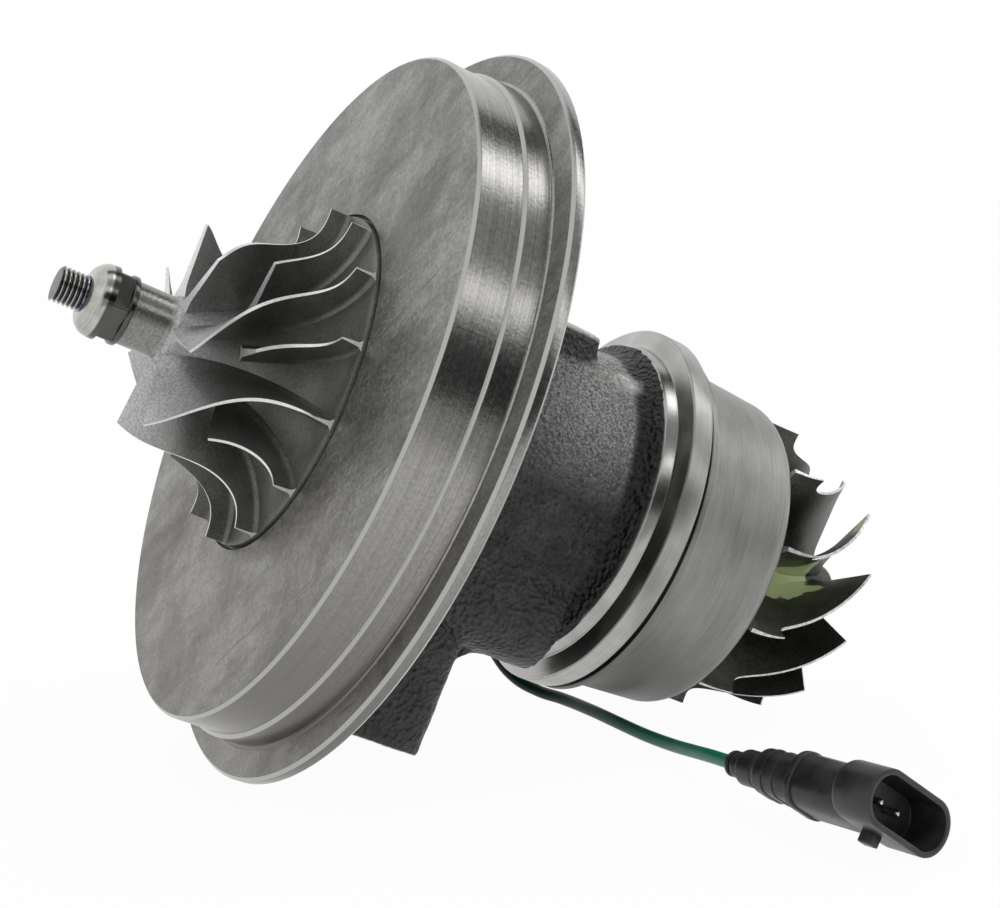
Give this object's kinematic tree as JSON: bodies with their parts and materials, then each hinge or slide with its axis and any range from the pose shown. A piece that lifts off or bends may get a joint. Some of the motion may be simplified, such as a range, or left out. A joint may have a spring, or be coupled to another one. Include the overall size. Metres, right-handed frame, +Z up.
{
  "type": "turbocharger cartridge",
  "caption": "Turbocharger cartridge: bladed compressor and turbine wheels on a common shaft in an oil-fed bearing housing with backplate, heat shield and wired speed sensor.",
  "frame": {"origin": "on the rotor axis, in the plane in which the compressor cover seats on the backplate flange", "axes": "+Z up from the bench that the part lies on, +X towards the turbine end, +Y to the far side of the picture; the rotor axis leans down towards the turbine by 24.2 degrees, as it lies"},
  "size_m": [0.2401, 0.2495, 0.1951],
  "materials": {
    "cast_iron": "coarse sand cast, black",
    "machined_plate": "turned and stained",
    "machined_steel": "turned",
    "shaft_steel": "ground",
    "cast_aluminium": "dark cast with machined tips",
    "turbine_alloy": "dark heat-stained cast alloy",
    "sheet_steel": "satin pressed sheet",
    "bronze": "machined bronze",
    "seal_rubber": "smooth",
    "black_plastic": "semi-gloss moulded",
    "cord_jacket": "smooth dark green",
    "tin_pins": "tin plated"
  },
  "bodies": {
    "cartridge": {"bearing_housing": "cast_iron", "compressor_backplate": "machined_plate", "backplate_bolts": "machined_steel", "backplate_o_ring": "seal_rubber", "oil_seal_plate": "machined_plate", "seal_plate_o_ring": "seal_rubber", "seal_plate_snap_ring": "machined_steel", "oil_deflector": "sheet_steel", "thrust_bearing": "bronze", "thrust_screws": "machined_steel", "bearing_snap_rings": "machined_steel", "compressor_piston_ring": "cast_iron", "turbine_piston_rings": "cast_iron", "heat_shield": "sheet_steel", "speed_sensor": "black_plastic", "sensor_o_ring": "seal_rubber", "sensor_screw": "machined_steel", "cable_gland": "black_plastic", "sensor_cord": "cord_jacket", "connector_boot": "black_plastic", "connector_cap": "black_plastic", "connector_shell": "black_plastic", "connector_pins": "tin_pins"},
    "rotor": {"rotor_shaft": "shaft_steel", "seal_sleeve": "shaft_steel", "thrust_collar": "shaft_steel", "thrust_washer": "shaft_steel", "compressor_wheel": "cast_aluminium", "compressor_nut": "machined_steel", "turbine_wheel": "turbine_alloy"},
    "front_bearing": {"journal_bearing_compressor": "bronze"},
    "rear_bearing": {"journal_bearing_turbine": "bronze"}
  },
  "joints": [
    {"name": "rotor_spin", "type": "hinge", "parent": "cartridge", "child": "rotor", "pos_m": [0, 0, 0], "axis": [0.9121, 0, -0.4099], "continuous": true},
    {"name": "front_bearing_spin", "type": "hinge", "parent": "cartridge", "child": "front_bearing", "pos_m": [0.028, 0, -0.01259], "axis": [0.9121, 0, -0.4099], "continuous": true},
    {"name": "rear_bearing_spin", "type": "hinge", "parent": "cartridge", "child": "rear_bearing", "pos_m": [0.06102, 0, -0.02742], "axis": [0.9121, 0, -0.4099], "continuous": true}
  ],
  "couplings": [
    {"joint": "front_bearing_spin", "follows": "rotor_spin", "ratio": 0.25},
    {"joint": "rear_bearing_spin", "follows": "rotor_spin", "ratio": 0.25}
  ]
}
